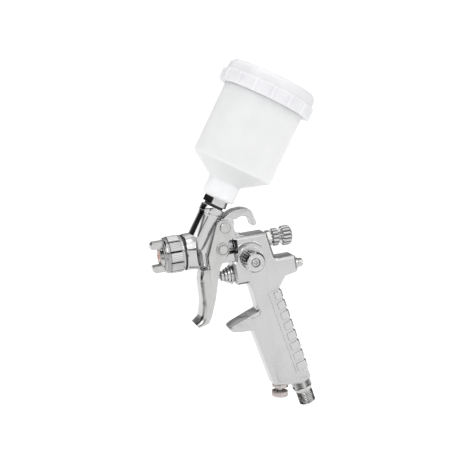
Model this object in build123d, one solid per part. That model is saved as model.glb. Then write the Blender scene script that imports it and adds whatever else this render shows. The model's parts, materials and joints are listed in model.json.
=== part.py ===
"""Gravity-feed mini spray gun, every piece its own solid.

The gun is drawn about its barrel: X runs back along the needle from the seam of the
retaining ring (X = 0), Z is up and the gun's left side is -Y.  Pieces on a tilted line
(cup, air inlet, regulator) are turned about their own Z and then laid on that line.
save() shifts everything so that the row's origin is the foot of the air inlet's thread.
"""
from build123d import *
from math import atan2, cos, degrees, radians, sin, tan
import os

# ---------------------------------------------------------------- fits and gaps
RUN = 0.05            # radial clearance of a shaft in its bore
GAP = 0.3             # space between pieces that pass each other
SEAT = 0.1            # space between two faces that close on each other

# ---------------------------------------------------------------- head and nozzle
HEAD_FRONT = 0.3
HEAD_BACK = 16.5
SCOOP_R = 9.5         # hollows behind the head that the trigger swings in
SCOOP_BOTTOM = -11.5
SPIGOT_R = 12.7       # threaded spigot the retaining ring screws on
SPIGOT_WALL = 2.2
SPIGOT_BORE = SPIGOT_R - SPIGOT_WALL
SPIGOT_FRONT = -8.0
CHAMBER_BACK = 4.0    # annular air chamber round the nozzle boss
BOSS_R = 7.5
BOSS_FRONT = -4.0
RING_WALL = 0.85
RING_R = SPIGOT_R + RUN + RING_WALL
HEAD_R = RING_R + 0.4  # polished head behind the retaining ring
RING_RIB = 0.45       # how far the gripping ribs stand out
RING_FRONT = -15.0
RING_BACK = -1.0
RING_OPEN_R = SPIGOT_R - 0.6
RING_LIP = 1.9
RING_PADS = 10
RIBS_PER_PAD = 5
CAP_FLANGE = 3.3
CAP_FACE = -15.8
CAP_DOME = -18.8      # raised middle of the cap
HORN_TIP = -24.5
HORN_IN = 6.2         # horns lie between this radius and the ring's opening
HORN_WIDTH = 8.0
HORN_HOLE_R = 0.6
NOZZLE_R = 5.4
NOZZLE_TIP = -19.8
NOZZLE_HOLE_R = 0.7   # a 1.4 mm fluid tip
NOZZLE_THREAD_R = 4.6
NOZZLE_THREAD_END = 2.5
WASHER_T = 1.2

# ---------------------------------------------------------------- needle line
NEEDLE_R = 1.1
NEEDLE_TIP = -19.3
NEEDLE_END = 50.0
PACKING_R = 4.0
PACKING_FRONT = 13.0
PACKING_NUT_FRONT = 17.0
PIN_X, PIN_Z = 28.4, -0.8
PIN_R = 2.9
COLLAR_FRONT = PIN_X + PIN_R + SEAT
COLLAR_R = 3.8
COLLAR_LENGTH = 6.4
WINDOW_FRONT = PIN_X - PIN_R - 1.0   # slot that the cross pin travels in
WINDOW_BACK = COLLAR_FRONT + COLLAR_LENGTH + 2.5
WINDOW_TOP = COLLAR_R + 0.8
WINDOW_BOTTOM = PIN_Z - PIN_R - 2.3
WINDOW_FAR_BACK = PIN_X + PIN_R + 4.3  # on the right side the slot is only as long as the pin's travel
SPRING_WIRE_R = 0.4
SPRING_BORE_R = COLLAR_R + 0.8
BUTTON_FRONT = 55.5   # needle's spring ends here
BUTTON_LENGTH = 2.6
FLUID_OUT = 3.0
FLUID_STEM_R = 3.0
BUSH_FACE = 65.4      # flat seat of the fluid bush on the sloping back
BUSH_HEX = 3.4
BUSH_HEX_AF = 11.0
BUSH_SLEEVE = 6.6
LOCK_R = SPRING_BORE_R + 2.2
LOCK_LENGTH = 4.6
FLUID_KNOB_R = 7.6
FLUID_KNOB_FRONT = BUSH_FACE + BUSH_HEX + BUSH_SLEEVE + 1.6
FLUID_KNOB_LENGTH = 8.2

# ---------------------------------------------------------------- cup line
CUP_FOOT_X = 7.0      # where the cup's line meets the barrel
CUP_LEAN = 33.0       # degrees back from upright
SPOUT_R = 8.5
SPOUT_TOP = 31.5      # heights along the cup's line, each on top of the one before
CHANNEL_R = 4.2
COLLAR_TOP = SPOUT_TOP + 5.4
INLET_COLLAR_R = SPOUT_R + 0.7
STUD_R = 4.9
INSERT_R = 6.8        # collar's sleeve inside the spout
INSERT_LENGTH = 11.3
SEAL_T = 1.6
NUT_TOP = COLLAR_TOP + 6.7
NUT_AF = 17.0
CONNECTOR_R = 7.0     # hollow screw that the cup is moulded round
FILTER_POCKET_R = CONNECTOR_R - 1.4
NECK_BOTTOM = NUT_TOP + 0.8
NECK_R = 12.6
NECK_TOP = NECK_BOTTOM + 13.1
SHOULDER = NECK_TOP + 12.5
CUP_R = 31.5
CUP_WALL = 1.5
CUP_TALL = 68.5       # straight part of the cup
RIM = SHOULDER + CUP_TALL
LID_BOTTOM = RIM - 13.5
GASKET_T = 1.2
LID_TOP = RIM + 4.7
LID_WALL = 4.6
LID_R = CUP_R + GAP + LID_WALL
LID_RIB = 1.1
LID_RIBS = 16
LID_BAND = 9.4        # height of the ribbed band
VENT_R = 3.0

# ---------------------------------------------------------------- body casting
BODY_HALF = 8.8       # half width of the flat body
WEB_HALF = 6.3        # half width between the trigger's cheeks
HOOK_HALF = 6.0
TOP_Z = 6.1
VALVE_Z = -23.3
BLOCK_FRONT = 35.4
BLOCK_BOTTOM = -30.6
STEP_Z = -15.2
TAIL_BACK = 86.0
EDGE = 1.9            # chamfer round the flat body
HOOK_X, HOOK_Z = 47.0, 14.0
HOOK_IN_R = 7.4
HOOK_T = 5.4
PAD_R = 9.6           # raised round pad under the fan knob
PAD_T = 0.8
ARC_R = 13.0          # raised arc above the fan knob

# ---------------------------------------------------------------- handle
HANDLE_HALF = BODY_HALF  # the grip's sides carry on from the block's
GRIP_ROUND = 3.2      # rounding of the grip's long edges
REST_HALF = 8.0
REST_TIP = 26.6
REST_ROUND = 6.0      # the rest's tip, seen from above
GRIP_PADS = 8
GRIP_TOP_X, GRIP_TOP_Z = 70.2, -38.5
GRIP_LEAN = 13.5
GRIP_FIRST = 5.2      # first pad's middle, down the back
GRIP_DEEP = 7.0
GRIP_TALL = 6.2
GRIP_PITCH = 8.75
GRIP_RISE = 0.8
GRIP_RECESS = 0.5     # depth of the band that the pads stand in

# ---------------------------------------------------------------- trigger
PIVOT_X, PIVOT_Z = 32.0, 15.3
PIVOT_R = 2.5
PIN_PROUD = 1.4       # how far the pin stands out of the cheeks
CHEEK_T = 2.6
CHEEK_OUT = WEB_HALF + 0.5 + CHEEK_T
NOSE_R = 4.6          # rounding of the finger face
NOSE_STEP = 1.2       # the nose is this much narrower each side below the head, and fades out at STEP_DOWN
NOSE_BACK = 16.4
STEP_DOWN = -27.5

# ---------------------------------------------------------------- air valve
VALVE_SEAT = BLOCK_FRONT + 1.2  # block's front face at the valve's height
VALVE_NUT_R = 7.65
VALVE_NUT_TIP = 26.0
VALVE_BORE_R = 5.2
VALVE_THREAD_R = VALVE_BORE_R + 0.8
VALVE_THREAD = 5.0
STEM_R = 1.5
VALVE_PACKING_R = STEM_R + 1.9
STEM_TIP = 11.9
SEAT_X = 52.0
SEAT_T = 3.0
POPPET_T = 4.0
STEM_END = SEAT_X + SEAT_T + SEAT + POPPET_T + 0.9
PLUG_FRONT = 78.0
PLUG_R = 3.4
PLUG_END = 92.6

# ---------------------------------------------------------------- fan control
FAN_X, FAN_Z = 48.5, -11.5
FAN_STEM_R = 2.4
FAN_BORE_R = FAN_STEM_R + 2.6
FAN_BUSH_DEPTH = 8.0
FAN_FLANGE_R = FAN_BORE_R + 1.6
FAN_FLANGE_T = 1.6
FAN_KNOB_R = 7.9
FAN_KNOB_LENGTH = 13.6
ORING_R = 0.9
SCREW_R = 3.0
SCREW_SHANK_R = 1.2
SCREW_SUNK = 1.8      # depth of the screw's counterbore in the knob

# ---------------------------------------------------------------- regulator and inlet
REG_X, REG_Z = 64.8, -117.1
REG_TILT = 8.0        # degrees forward, going down
REG_STEM_R = 2.4
REG_BORE_R = REG_STEM_R + 2.6
REG_BUSH_DEPTH = 12.0
REG_DEPTH = 30.0
REG_FLANGE_R = REG_BORE_R + 1.4
REG_FLANGE_T = 2.7
REG_KNOB_R = 6.35
REG_KNOB_TOP = 6.2
REG_KNOB_T = 4.2
INLET_X, INLET_Z = 81.3, -117.4
INLET_TILT = 13.2     # degrees back, going down
INLET_AF = 14.0
INLET_HEX = 5.6
INLET_CHAMFER = 4.0
INLET_THREAD_R = 6.58  # G1/4 male, 13.16 mm over the thread
INLET_THREAD = 10.6
INLET_BORE_R = 3.5
INLET_SHANK_R = 5.5   # what is screwed into the grip
INLET_SHANK = 9.5


# ================================================================ helpers
def line_at(x, z, tilt):
    """Location whose Z runs down from (x, z), leaning back by tilt degrees."""
    a = radians(tilt)
    return Plane(origin=(x, 0, z), x_dir=(cos(a), 0, sin(a)), z_dir=(sin(a), 0, -cos(a))).location


BARREL = Plane(origin=(0, 0, 0), x_dir=(0, 1, 0), z_dir=(1, 0, 0)).location
VALVE = Plane(origin=(0, 0, VALVE_Z), x_dir=(0, 1, 0), z_dir=(1, 0, 0)).location
CUP = Plane(origin=(CUP_FOOT_X, 0, 0),
            x_dir=(cos(radians(CUP_LEAN)), 0, -sin(radians(CUP_LEAN))),
            z_dir=(sin(radians(CUP_LEAN)), 0, cos(radians(CUP_LEAN)))).location
FAN = Plane(origin=(FAN_X, 0, FAN_Z), x_dir=(1, 0, 0), z_dir=(0, -1, 0)).location
REGULATOR = line_at(REG_X, REG_Z, -REG_TILT)
INLET = line_at(INLET_X, INLET_Z, INLET_TILT)
INLET_SEAT = INLET_HEX + INLET_CHAMFER
ORIGIN = (INLET * Pos(0, 0, INLET_SEAT)).position


def turned(*corners):
    """Solid of revolution about Z from (radius, height) corners."""
    return revolve(Plane.XZ * make_face(Polyline(*corners, close=True)), Axis.Z)


def rod(radius, start, end):
    return turned((0, start), (radius, start), (radius, end), (0, end))


def tube(outer, inner, start, end):
    return turned((inner, start), (outer, start), (outer, end), (inner, end))


def hexagon(flats, start, end):
    return extrude(Pos(0, 0, start) * RegularPolygon(flats / 2, 6, major_radius=False), end - start)


def profile(corners):
    """Face in the XZ plane from (x, z, corner radius) points."""
    line = FilletPolyline(*[(x, z) for x, z, _ in corners], radius=[r for _, _, r in corners], close=True)
    return Plane.XZ * make_face(line)


def plate(corners, half):
    """Flat piece of the given half width about the gun's middle plane."""
    return extrude(profile(corners), half, both=True)


def oring(centre_r, section_r, height):
    return Pos(0, 0, height) * Torus(centre_r, section_r)


def coil(centre_r, wire_r, start, end, turns):
    """Round-wire compression spring along Z with its centre line on centre_r."""
    length = end - start - 2 * wire_r
    path = Helix(length / turns, length, centre_r)
    wire = sweep(Plane(path @ 0, z_dir=path % 0) * Circle(wire_r), path=path, is_frenet=True)
    return Pos(0, 0, start + wire_r) * wire


def knurl(radius, count, groove_r, start, end):
    """Grooves along Z to cut from a knob's rim."""
    groove = rod(groove_r, start, end)
    return [Rot(0, 0, 360 * i / count) * Pos(radius, 0, 0) * groove for i in range(count)]


# ================================================================ gun body
def head_solid():
    """Round head with its threaded spigot, its nozzle boss and the hollows at its back."""
    outer = turned((0, HEAD_FRONT), (HEAD_R - 0.6, HEAD_FRONT), (HEAD_R, HEAD_FRONT + 0.8),
                   (HEAD_R, HEAD_BACK - 1.5), (HEAD_R - 1.5, HEAD_BACK), (0, HEAD_BACK))
    spigot = rod(SPIGOT_R, SPIGOT_FRONT, HEAD_FRONT)
    chamber = tube(SPIGOT_BORE, BOSS_R, SPIGOT_FRONT, CHAMBER_BACK)
    mouth = rod(SPIGOT_BORE, SPIGOT_FRONT, BOSS_FRONT)
    head = BARREL * (outer + spigot - chamber - mouth)
    tall = HEAD_R - SCOOP_BOTTOM + 1
    scoops = [Pos(HEAD_BACK, side * (WEB_HALF + SCOOP_R), SCOOP_BOTTOM + tall / 2) * Cylinder(SCOOP_R, tall)
              for side in (-1, 1)]
    return head - scoops


def web_solid():
    """Narrow middle of the casting, between the trigger's cheeks."""
    return plate([(8, -12, 0), (BLOCK_FRONT + 3.4, -12, 0), (BLOCK_FRONT + 6.4, TOP_Z, 0), (39.4, 13.5, 3),
                  (37.5, 21.5, 3), (31.2, 21.6, 1), (24, 18, 0), (10, 8, 0)], WEB_HALF)


def hook_solid():
    """Hanging hook: an arc that springs from behind the spout and ends in a blunt tip."""
    out_r = HOOK_IN_R + HOOK_T
    ring = plate([(28.5, 18, 0), (33, 21.8, 3), (37.5, 24.8, 4), (42, HOOK_Z + out_r - 0.4, 4),
                  (HOOK_X + 1.5, HOOK_Z + out_r, 5), (54.4, 25.4, 3.5), (58.0, 13.6, 1.5),
                  (54.2, 12.6, 1.5), (51.0, 20, 0), (40, 20, 0), (40, 4, 0), (36, 4, 0)], HOOK_HALF)
    eye = extrude(Plane.XZ * Pos(HOOK_X, HOOK_Z) * Circle(HOOK_IN_R), HOOK_HALF, both=True)
    root = plate([(38, 4, 0), (47, 4, 0), (47, HOOK_Z, 0), (38, HOOK_Z, 0)], HOOK_HALF)
    return ring + root - eye


def block_solid():
    """Flat body that holds the needle spring above and the air valve below."""
    outline = [(BLOCK_FRONT, -12.2, 0), (37.6, -12.2, 0), (37.6, TOP_Z, 0), (64.2, TOP_Z, 2),
               (69.1, STEP_Z, 3.5), (TAIL_BACK - 0.6, STEP_Z, 2), (TAIL_BACK, VALVE_Z - 5, 2),
               (76, BLOCK_BOTTOM + 0.6, 3), (69, -40, 0), (50, -40, 0), (46, BLOCK_BOTTOM, 0),
               (VALVE_SEAT, BLOCK_BOTTOM, 2)]
    block = plate(outline, BODY_HALF)
    rims = block.faces().filter_by(Plane.XZ).edges()
    return chamfer(rims, EDGE)


def seat_height(x, seat_x, seat_z, tilt):
    """Height at x of the flat seat through (seat_x, seat_z), square to a line leaning back by tilt."""
    return seat_z + (x - seat_x) * tan(radians(tilt))


def handle_solid():
    """Leaning grip with rounded edges, wider below the finger rest."""
    toe, heel, valley = 58.1, 88.8, 75.9
    grip = plate([(46.6, -24, 0), (51.6, -54, 3), (43.2, -57, 0), (45.9, -68, 0),
                  (toe, seat_height(toe, REG_X, REG_Z, -REG_TILT), 2),
                  (valley, seat_height(valley, REG_X, REG_Z, -REG_TILT), 0),
                  (heel, seat_height(heel, INLET_X, INLET_Z, INLET_TILT), 2),
                  (70.2, -38.0, 3), (71.5, -24, 0)], HANDLE_HALF)
    long_edges = [e for e in grip.edges() if abs(abs(e.center().Y) - HANDLE_HALF) < 0.01 and e.length > 12]
    grip = fillet([e for e in long_edges if abs(e.tangent_at(0.5).Z) > 0.9], GRIP_ROUND)
    rest = plate([(54, -53.4, 0), (47, -55.8, 6), (36, -60.0, 10), (REST_TIP, -63.6, 1.2), (29, -66.2, 2.5),
                  (37, -67.6, 8), (47, -67.8, 0), (54, -68, 0)], REST_HALF)
    tongue = Pos(REST_TIP + 20, 0, -60) * Box(40, 2 * REST_HALF, 40)
    rest = rest & fillet(tongue.edges().filter_by(Axis.Z).group_by(Axis.X)[0], REST_ROUND)
    return grip - grip_bands() + rest


def on_grip_back(along, inset):
    """Location on the grip's back edge, along mm down from its top and inset mm inside it."""
    lean = radians(GRIP_LEAN)
    x = GRIP_TOP_X + along * sin(lean) - inset
    return Pos(x, 0, GRIP_TOP_Z - along * cos(lean)) * Rot(0, -GRIP_LEAN, 0)


def grip_bands():
    """Shallow recess on each side that the pads stand in."""
    tall = GRIP_PITCH * (GRIP_PADS - 1) + GRIP_TALL + 3
    middle = GRIP_FIRST + GRIP_PITCH * (GRIP_PADS - 1) / 2
    deep = GRIP_DEEP + 3.4
    band = Box(deep + 4, 2 * GRIP_RECESS, tall)
    return [on_grip_back(middle, deep / 2 - 2) * Pos(0, side * HANDLE_HALF, 0) * band for side in (-1, 1)]


def grip_pads():
    """Raised pads in a row that wrap round the back of the grip."""
    pads = []
    for i in range(GRIP_PADS):
        deep = GRIP_DEEP + 0.32 * i
        box = Box(deep, 2 * (HANDLE_HALF + GRIP_RISE), GRIP_TALL)
        box = fillet(box.edges().filter_by(Axis.Z).group_by(Axis.X)[-1], 3.4)
        box = fillet(box.edges(), 0.7)
        pads.append(on_grip_back(GRIP_FIRST + GRIP_PITCH * i, deep / 2 - GRIP_RISE) * box)
    return pads


def gun_body():
    spout = CUP * turned((0, 4), (SPOUT_R, 4), (SPOUT_R, SPOUT_TOP - 3), (SPOUT_R + 0.5, SPOUT_TOP),
                         (0, SPOUT_TOP))
    inlet_boss = INLET * rod(8.3, -8, 0)
    fan_pad = FAN * rod(PAD_R, BODY_HALF - 2, BODY_HALF + PAD_T)
    fan_arc = FAN * tube(ARC_R + 0.5, ARC_R - 0.5, BODY_HALF - 1, BODY_HALF + 0.4)
    fan_arc = fan_arc & (Pos(FAN_X, -BODY_HALF, FAN_Z + 4 + ARC_R) * Box(21, 8, 2 * ARC_R))
    body = (head_solid() + spout + web_solid() + hook_solid() + block_solid() + handle_solid()
            + inlet_boss + fan_pad + fan_arc + grip_pads())
    far_wall = Pos((WINDOW_FAR_BACK + WINDOW_BACK + 1) / 2, COLLAR_R + GAP + 10, 0) * Box(
        WINDOW_BACK + 1 - WINDOW_FAR_BACK, 20, 20)
    slot = plate([(WINDOW_FRONT, WINDOW_BOTTOM, 0.5), (WINDOW_BACK, WINDOW_BOTTOM, 0.5),
                  (WINDOW_BACK, WINDOW_TOP, 0.5), (WINDOW_FRONT, WINDOW_TOP, 0.5)], BODY_HALF + 1)
    nozzle_line = turned((0, BOSS_FRONT - 1), (NOZZLE_THREAD_R, BOSS_FRONT - 1),
                         (NOZZLE_THREAD_R, NOZZLE_THREAD_END + 0.5), (CHANNEL_R, NOZZLE_THREAD_END + 0.5),
                         (CHANNEL_R, PACKING_FRONT - 1), (PACKING_R, PACKING_FRONT - 1),
                         (PACKING_R, WINDOW_FRONT + 1), (0, WINDOW_FRONT + 1))
    seat_r = BUSH_HEX_AF / 2 + 1.3
    spring_line = turned((0, WINDOW_BACK - 1), (SPRING_BORE_R, WINDOW_BACK - 1), (SPRING_BORE_R, BUSH_FACE),
                         (seat_r, BUSH_FACE), (seat_r, BUSH_FACE + 12), (0, BUSH_FACE + 12))
    insert_end = SPOUT_TOP - INSERT_LENGTH - 0.2
    paint_line = turned((0, 0), (CHANNEL_R, 0), (CHANNEL_R, insert_end), (INSERT_R, insert_end),
                        (INSERT_R, SPOUT_TOP + 1), (0, SPOUT_TOP + 1))
    thread_end = VALVE_SEAT + VALVE_THREAD
    front = VALVE_SEAT - 4.2
    valve_line = turned((0, front), (VALVE_THREAD_R, front), (VALVE_THREAD_R, thread_end),
                        (VALVE_BORE_R, thread_end), (VALVE_BORE_R, TAIL_BACK + 2), (0, TAIL_BACK + 2))
    shank_end = -INLET_SHANK - 0.5
    inlet_line = turned((0, -97), (INLET_BORE_R, -97), (INLET_BORE_R, shank_end), (INLET_SHANK_R, shank_end),
                        (INLET_SHANK_R, 2), (0, 2))
    regulator_line = turned((0, -REG_DEPTH), (REG_STEM_R + 1, -REG_DEPTH), (REG_STEM_R + 1, -REG_BUSH_DEPTH),
                            (REG_BORE_R, -REG_BUSH_DEPTH), (REG_BORE_R, 2), (0, 2))
    cuts = [
        slot - far_wall,
        CUP * rod(INLET_COLLAR_R, SPOUT_TOP, NUT_TOP),
        BARREL * nozzle_line,
        BARREL * spring_line,
        CUP * paint_line,
        VALVE * valve_line,
        FAN * rod(FAN_BORE_R, -3, BODY_HALF + PAD_T + 1),
        Pos(0, 0, -9) * BARREL * rod(1.8, CHAMBER_BACK - 1, FAN_X),
        Pos(FAN_X, 0, 0) * rod(1.8, VALVE_Z, FAN_Z),
        INLET * inlet_line,
        REGULATOR * regulator_line,
        Pos(PIVOT_X, 0, PIVOT_Z) * Rot(90, 0, 0) * rod(PIVOT_R, -12, 12),
    ]
    return body - cuts


# ================================================================ head pieces
def fluid_nozzle():
    """Fluid tip with a hexagon that seats on the boss and a thread into the head."""
    seat = BOSS_FRONT - 3.2
    outside = turned((0, NOZZLE_TIP), (1.4, NOZZLE_TIP), (1.5, NOZZLE_TIP + 0.6), (NOZZLE_R - 0.8, CAP_DOME),
                     (NOZZLE_R, CAP_DOME + 0.7), (NOZZLE_R, seat), (NOZZLE_THREAD_R, seat),
                     (NOZZLE_THREAD_R, NOZZLE_THREAD_END), (0, NOZZLE_THREAD_END))
    flange = hexagon(2 * NOZZLE_R + 2.2, seat, BOSS_FRONT)
    inside = turned((0, NOZZLE_TIP - 1), (NOZZLE_HOLE_R, NOZZLE_TIP - 1), (NOZZLE_HOLE_R, NOZZLE_TIP + 1),
                    (3.0, -13), (3.0, 4), (0, 4))
    return BARREL * (outside + flange - inside)


def air_distributor():
    inner = BOSS_R + GAP
    ring = tube(SPIGOT_BORE, inner, -7.6, -5.2)
    holes = [Rot(0, 0, 45 * i) * Pos((SPIGOT_BORE + inner) / 2, 0, -6) * Cylinder(0.8, 6) for i in range(8)]
    return BARREL * (ring - holes)


def retaining_ring():
    bore = SPIGOT_R + RUN
    shell = turned((RING_OPEN_R, RING_FRONT), (RING_R - 0.5, RING_FRONT), (RING_R, RING_FRONT + 0.6),
                   (RING_R, RING_BACK - 0.4), (RING_R - 0.4, RING_BACK), (bore, RING_BACK),
                   (bore, RING_FRONT + RING_LIP), (RING_OPEN_R, RING_FRONT + RING_LIP))
    pad_angle = 360 / RING_PADS
    step = pad_angle * 0.78 / RIBS_PER_PAD
    rib = Pos(RING_R - 0.1, 0, (RING_FRONT + RING_BACK) / 2 + 0.6) * Box(2 * RING_RIB + 0.2, 0.8, 8.6)
    ribs = [Rot(0, 0, pad_angle * pad + step * (i - (RIBS_PER_PAD - 1) / 2)) * rib
            for pad in range(RING_PADS) for i in range(RIBS_PER_PAD)]
    return BARREL * (shell + ribs)


def air_cap():
    """Domed cap with two horns, held by its flange behind the ring's lip."""
    back = RING_FRONT + RING_LIP + SEAT + CAP_FLANGE
    face_r = RING_OPEN_R - 0.1
    opening = NOZZLE_R + 0.5
    lip = RING_FRONT + RING_LIP + SEAT
    cap = turned((opening, CAP_DOME + 0.3), (opening + 0.4, CAP_DOME), (opening + 1.4, CAP_DOME + 0.2),
                 (face_r - 2.6, CAP_FACE - 0.4), (face_r - 0.6, CAP_FACE), (face_r, CAP_FACE + 0.5),
                 (face_r, lip), (SPIGOT_R - RUN, lip), (SPIGOT_R - RUN, back),
                 (SPIGOT_BORE, back), (SPIGOT_BORE, back - 2.2), (opening, back - 2.2))
    horn = plate([(HORN_TIP, HORN_IN + 0.4, 1.0), (CAP_FACE + 1, HORN_IN, 0), (CAP_FACE + 1, face_r, 0),
                  (HORN_TIP + 1.2, face_r, 0), (HORN_TIP, face_r - 1.2, 0)], HORN_WIDTH / 2)
    horn = horn & (BARREL * turned((0, HORN_TIP - 1), (face_r - 2.5, HORN_TIP - 1), (face_r - 1.5, HORN_TIP),
                                   (face_r, HORN_TIP + 1.5), (face_r, 0), (0, 0)))
    jets = []
    for x in (HORN_TIP + 2.6, HORN_TIP + 5.2):
        jets.append(Pos(x, 0, 8) * Rot(0, 30, 0) * Cylinder(HORN_HOLE_R, 7))
    horn = horn - jets
    vents = [Pos(CAP_FACE, 0, 0) * Rot(45 + 90 * i, 0, 0) * Pos(0, 0, 8.6) * Rot(0, 90, 0)
             * Cylinder(0.6, 8) for i in range(4)]
    return BARREL * cap + horn + Rot(180, 0, 0) * horn - vents


def head_seal():
    return BARREL * tube(RING_R - 0.1, SPIGOT_R, RING_BACK + SEAT, HEAD_FRONT)


def cap_washer():
    return BARREL * tube(SPIGOT_R - RUN, SPIGOT_BORE + 0.2, SPIGOT_FRONT - WASHER_T - SEAT,
                         SPIGOT_FRONT - SEAT)


# ================================================================ needle line
def needle():
    return BARREL * turned((0, NEEDLE_TIP), (0.35, NEEDLE_TIP), (NEEDLE_R, NEEDLE_TIP + 4.6),
                           (NEEDLE_R, NEEDLE_END - 0.4), (NEEDLE_R - 0.4, NEEDLE_END), (0, NEEDLE_END))


def needle_collar():
    front = COLLAR_FRONT
    return BARREL * turned((NEEDLE_R, front), (COLLAR_R - 0.6, front), (COLLAR_R, front + 0.6),
                           (COLLAR_R, front + COLLAR_LENGTH), (NEEDLE_R, front + COLLAR_LENGTH))


def needle_packing():
    return BARREL * tube(PACKING_R, NEEDLE_R + RUN, PACKING_FRONT, PACKING_NUT_FRONT)


def packing_nut():
    nut = tube(PACKING_R, NEEDLE_R + 0.2, PACKING_NUT_FRONT, WINDOW_FRONT)
    slot = Pos(0, 0, WINDOW_FRONT) * Box(12, 1.4, 3)
    return BARREL * (nut - slot)


def needle_spring():
    front = COLLAR_FRONT + COLLAR_LENGTH + SEAT
    return BARREL * coil(COLLAR_R - 0.5, SPRING_WIRE_R, front, BUTTON_FRONT - SEAT, 8)


def spring_button():
    return BARREL * rod(SPRING_BORE_R - RUN, BUTTON_FRONT, BUTTON_FRONT + BUTTON_LENGTH)


def fluid_bush():
    front = BUTTON_FRONT + BUTTON_LENGTH + FLUID_OUT + GAP
    hex_end = BUSH_FACE + BUSH_HEX
    solid = rod(SPRING_BORE_R, front, hex_end + BUSH_SLEEVE) + hexagon(BUSH_HEX_AF, BUSH_FACE, hex_end)
    return BARREL * (solid - rod(FLUID_STEM_R + RUN, front - 1, hex_end + BUSH_SLEEVE + 1))


def fluid_lock_ring():
    start = BUSH_FACE + BUSH_HEX + 1.2
    ring = tube(LOCK_R, SPRING_BORE_R + RUN, start, start + LOCK_LENGTH)
    return BARREL * (ring - knurl(LOCK_R + 0.5, 12, 1.2, start - 1, start + LOCK_LENGTH + 1))


def fluid_knob():
    stem_front = BUTTON_FRONT + BUTTON_LENGTH + SEAT
    end = FLUID_KNOB_FRONT + FLUID_KNOB_LENGTH
    knob = turned((0, stem_front), (FLUID_STEM_R, stem_front), (FLUID_STEM_R, FLUID_KNOB_FRONT),
                  (FLUID_KNOB_R - 0.8, FLUID_KNOB_FRONT), (FLUID_KNOB_R, FLUID_KNOB_FRONT + 0.8),
                  (FLUID_KNOB_R, end - 1.2), (FLUID_KNOB_R - 1.2, end), (0, end))
    return BARREL * (knob - knurl(FLUID_KNOB_R + 0.6, 14, 1.3, FLUID_KNOB_FRONT - 0.5, end + 1))


# ================================================================ trigger group
def trigger():
    """Two cheeks on the pivot that join in a rounded nose below the head."""
    side = plate([(26.4, 19.2, 1.5), (29.2, 21.2, 1.5), (34.2, 21.0, 2.5), (36.7, 17, 2), (36.0, 7.5, 2),
                  (33.0, 3.4, 0.6), (33.2, -4.6, 2), (25.4, -13.2, 4), (22.1, -23.9, 10),
                  (18.6, -38, 10), (14.2, -50.5, 5), (11.2, -55.6, 3), (3.2, -57.7, 0),
                  (1.4, -55.2, 0), (6.6, -51.4, 6), (9.0, -40, 30), (8.8, -23, 12),
                  (11, -HEAD_R - 0.7, 0), (HEAD_BACK + 0.7, -HEAD_R - 0.7, 0), (HEAD_BACK + 0.5, -5.2, 3)],
                 CHEEK_OUT)
    nose = [e for e in side.edges() if abs(abs(e.center().Y) - CHEEK_OUT) < 0.01
            and e.center().X < 10.5 and -55.5 < e.center().Z < -15]
    side = fillet(nose, NOSE_R)
    between = plate([(14.4, 25, 0), (45, 25, 0), (45, -43, 0), (20, -43, 0), (12.0, -47.0, 2),
                     (11.6, -40, 8), (11.3, -23, 6), (13.6, 0.4 - HEAD_R, 0), (14.4, 0.4 - HEAD_R, 0)],
                    CHEEK_OUT - CHEEK_T)
    holes = [Pos(PIVOT_X, 0, PIVOT_Z) * Rot(90, 0, 0) * rod(PIVOT_R + RUN, -12, 12),
             Pos(PIN_X, 0, PIN_Z) * Rot(90, 0, 0) * rod(PIN_R, -12, 12)]
    taper = degrees(atan2(NOSE_STEP, -HEAD_R - STEP_DOWN))
    slab = Box(20, 10, 40)
    steps = [Pos(NOSE_BACK - 10, y * CHEEK_OUT, STEP_DOWN) * Rot(y * taper, 0, 0) * Pos(0, 5 * y, 20) * slab
             for y in (-1, 1)]
    return side - between - holes - steps


def needle_pin():
    """Cross pin with a fork cut in it that straddles the needle and pushes its collar."""
    pin = Pos(PIN_X, 0, PIN_Z) * Rot(90, 0, 0) * rod(PIN_R, -CHEEK_OUT - PIN_PROUD, CHEEK_OUT + PIN_PROUD)
    fork = Pos(PIN_X, 0, 2 - NEEDLE_R - 0.4) * Box(4 * PIN_R, 2 * NEEDLE_R + 1, 4)
    return pin - fork


def pin_washers():
    """Washer with a raised rim on each side, over the cross pin."""
    rim = PIN_R + 2.1
    one = turned((PIN_R, CHEEK_OUT), (rim, CHEEK_OUT), (rim, CHEEK_OUT + 0.9), (rim - 0.3, CHEEK_OUT + 1.2),
                 (rim - 0.8, CHEEK_OUT + 1.2), (rim - 1.2, CHEEK_OUT + 0.4), (PIN_R, CHEEK_OUT + 0.4))
    one = Pos(PIN_X, 0, PIN_Z) * Rot(90, 0, 0) * one
    return [one, mirror(one, Plane.XZ)]


def trigger_pivot():
    head, tip = CHEEK_OUT + SEAT, -WEB_HALF - CHEEK_T - 3
    screw = turned((0, tip), (PIVOT_R, tip), (PIVOT_R, head), (PIVOT_R + 1.6, head),
                   (PIVOT_R + 1.6, head + 1.1),
                   (PIVOT_R + 0.9, head + 1.8), (0, head + 1.8))
    return Pos(PIVOT_X, 0, PIVOT_Z) * Rot(90, 0, 0) * screw


def pivot_nut():
    end = WEB_HALF + CHEEK_T + 3
    nut = Pos(0, 0, -end) * extrude(RegularPolygon(PIVOT_R + 1.5, 6), end - CHEEK_OUT - SEAT)
    return Pos(PIVOT_X, 0, PIVOT_Z) * Rot(90, 0, 0) * (nut - rod(PIVOT_R, -end - 1, 0))


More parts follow.
